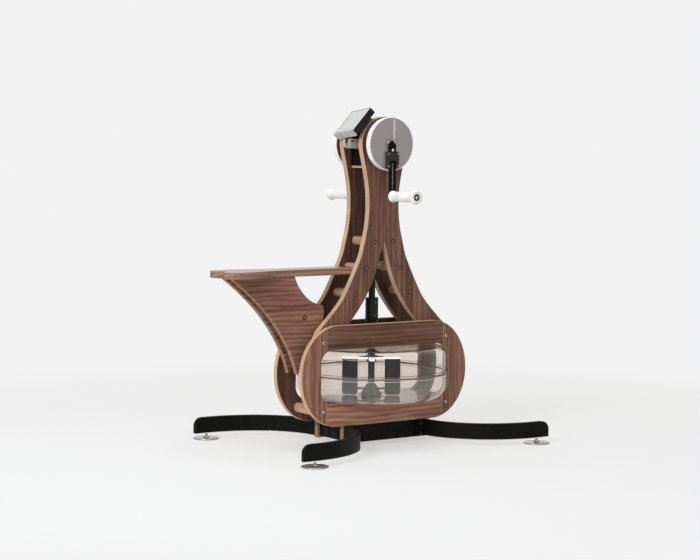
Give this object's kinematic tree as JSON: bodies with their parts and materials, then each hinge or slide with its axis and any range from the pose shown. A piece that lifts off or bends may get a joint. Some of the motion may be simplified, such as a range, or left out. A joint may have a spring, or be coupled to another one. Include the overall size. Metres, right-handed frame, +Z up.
{
  "type": "arm crank ergometer",
  "caption": "Arm crank ergometer: wooden wishbone column over a clear water tank, saddle board, cranked hand grips, tilting console and splayed black legs.",
  "frame": {"origin": "on the floor under the centre of the whole machine", "axes": "+Z up, the rider sits at -X and faces +X, the rider's right side is -Y"},
  "size_m": [1.052, 0.733, 1.0833],
  "materials": {
    "walnut": "oiled",
    "birch": "oiled",
    "black_metal": "satin",
    "polished_steel": "polished",
    "disc_metal": "satin",
    "clear_plastic": "gloss",
    "seal_rubber": "matte",
    "paddle_plastic": "satin",
    "grip_plastic": "satin",
    "console_black": "matte",
    "console_grey": "satin",
    "screen": "gloss"
  },
  "bodies": {
    "frame": {"right_column_panel": "walnut", "left_column_panel": "walnut", "upper_rear_dowel": "birch", "middle_rear_dowel": "birch", "lower_rear_dowel": "birch", "upper_front_dowel": "birch", "middle_front_dowel": "birch", "lower_front_dowel": "birch", "top_rear_corner_dowel": "birch", "bottom_rear_corner_dowel": "birch", "top_front_corner_dowel": "birch", "bottom_front_corner_dowel": "birch", "right_tank_frame_top_board": "walnut", "right_tank_frame_bottom_board": "walnut", "right_tank_frame_front_board": "walnut", "right_tank_frame_rear_board": "walnut", "left_tank_frame_top_board": "walnut", "left_tank_frame_bottom_board": "walnut", "left_tank_frame_front_board": "walnut", "left_tank_frame_rear_board": "walnut", "tank_upper_shell": "clear_plastic", "tank_lower_shell": "clear_plastic", "tank_seal": "seal_rubber", "shaft_deck": "birch", "bearing_housing": "black_metal", "gearbox_housing": "black_metal", "gearbox_shelf": "birch", "console_bracket": "console_grey", "seat_board": "walnut", "right_seat_bracket": "walnut", "left_seat_bracket": "walnut", "seat_spacer": "birch", "right_base_rail": "walnut", "left_base_rail": "walnut", "rear_right_leg": "black_metal", "rear_left_leg": "black_metal", "front_right_leg": "black_metal", "front_left_leg": "black_metal", "rear_cross_member": "black_metal", "front_cross_member": "black_metal"},
    "crank": {"crank_axle": "polished_steel", "crown_gear": "polished_steel", "right_crank_disc": "disc_metal", "right_guide_block": "black_metal", "left_crank_disc": "disc_metal", "left_guide_block": "black_metal"},
    "rotor": {"drive_shaft": "black_metal", "shaft_coupling": "black_metal", "paddle": "paddle_plastic", "drive_pinion": "polished_steel"},
    "console": {"console_housing": "console_black", "console_screen": "screen"},
    "right_arm": {"right_crank_arm": "black_metal"},
    "right_handle": {"right_grip": "grip_plastic"},
    "left_arm": {"left_crank_arm": "black_metal"},
    "left_handle": {"left_grip": "grip_plastic"},
    "rear_right_leveller": {"rear_right_foot": "polished_steel"},
    "rear_left_leveller": {"rear_left_foot": "polished_steel"},
    "front_right_leveller": {"front_right_foot": "polished_steel"},
    "front_left_leveller": {"front_left_foot": "polished_steel"}
  },
  "joints": [
    {"name": "crank_turn", "type": "hinge", "parent": "frame", "child": "crank", "pos_m": [0.051, 0, 0.967], "axis": [0, 1, 0], "continuous": true},
    {"name": "shaft_turn", "type": "hinge", "parent": "frame", "child": "rotor", "pos_m": [0.051, 0, 0.6], "axis": [0, 0, 1], "continuous": true},
    {"name": "console_tilt", "type": "hinge", "parent": "frame", "child": "console", "pos_m": [-0.045, 0, 0.977], "axis": [0, -1, 0], "range_deg": [0, 25]},
    {"name": "right_arm_slide", "type": "slide", "parent": "crank", "child": "right_arm", "axis": [0, 0, 1], "range_m": [0, 0.065]},
    {"name": "right_grip_spin", "type": "hinge", "parent": "right_arm", "child": "right_handle", "pos_m": [0.051, -0.177, 0.801], "axis": [0, 1, 0], "continuous": true},
    {"name": "left_arm_slide", "type": "slide", "parent": "crank", "child": "left_arm", "axis": [0, 0, 1], "range_m": [0, 0.065]},
    {"name": "left_grip_spin", "type": "hinge", "parent": "left_arm", "child": "left_handle", "pos_m": [0.051, 0.177, 0.801], "axis": [0, 1, 0], "continuous": true},
    {"name": "rear_right_level", "type": "slide", "parent": "frame", "child": "rear_right_leveller", "axis": [0, 0, -1], "range_m": [0, 0.012]},
    {"name": "rear_left_level", "type": "slide", "parent": "frame", "child": "rear_left_leveller", "axis": [0, 0, -1], "range_m": [0, 0.012]},
    {"name": "front_right_level", "type": "slide", "parent": "frame", "child": "front_right_leveller", "axis": [0, 0, -1], "range_m": [0, 0.012]},
    {"name": "front_left_level", "type": "slide", "parent": "frame", "child": "front_left_leveller", "axis": [0, 0, -1], "range_m": [0, 0.012]}
  ],
  "couplings": [
    {"joint": "shaft_turn", "follows": "crank_turn", "ratio": 3}
  ]
}
